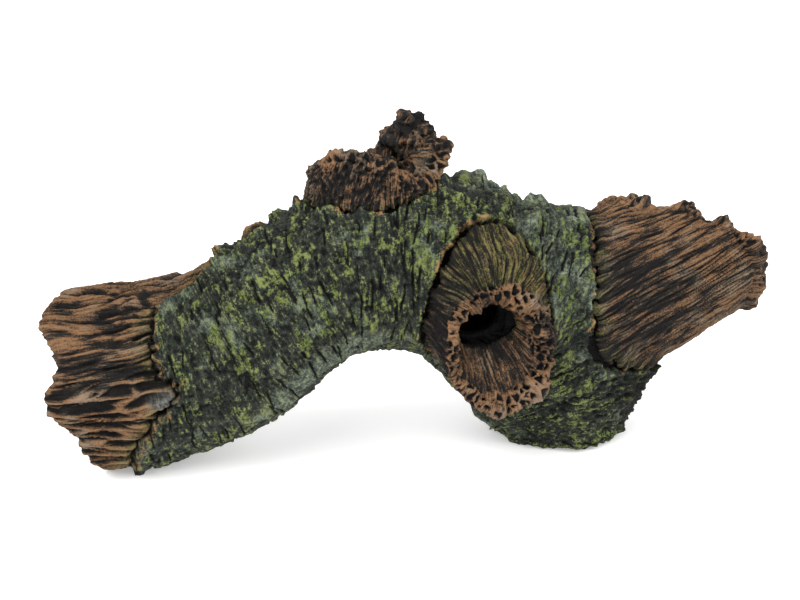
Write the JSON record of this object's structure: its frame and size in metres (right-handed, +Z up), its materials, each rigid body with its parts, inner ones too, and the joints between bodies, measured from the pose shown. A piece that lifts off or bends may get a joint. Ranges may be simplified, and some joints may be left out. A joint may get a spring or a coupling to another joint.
{
  "type": "mossy log",
  "caption": "Hollow arched log with mossy bark, bare broken ends, a stump on top and an open knot; stands on its mouth and foot.",
  "frame": {"origin": "middle of the whole object's box in X and Y, on the surface it stands on", "axes": "+X runs along the log from its open mouth to the bare limb, +Y from the knot to the plain back, +Z is up"},
  "size_m": [0.2748, 0.1008, 0.1337],
  "materials": {
    "bark": "cast resin painted as dark green mossy bark, dry-brushed yellow-green",
    "bare_wood": "cast resin painted as bare wood, charcoal in the grain and orange-brown on the ridges"
  },
  "bodies": {
    "root": {"trunk": "bark", "limb": "bare_wood", "stump": "bare_wood", "knot": "bare_wood"}
  },
  "joints": []
}
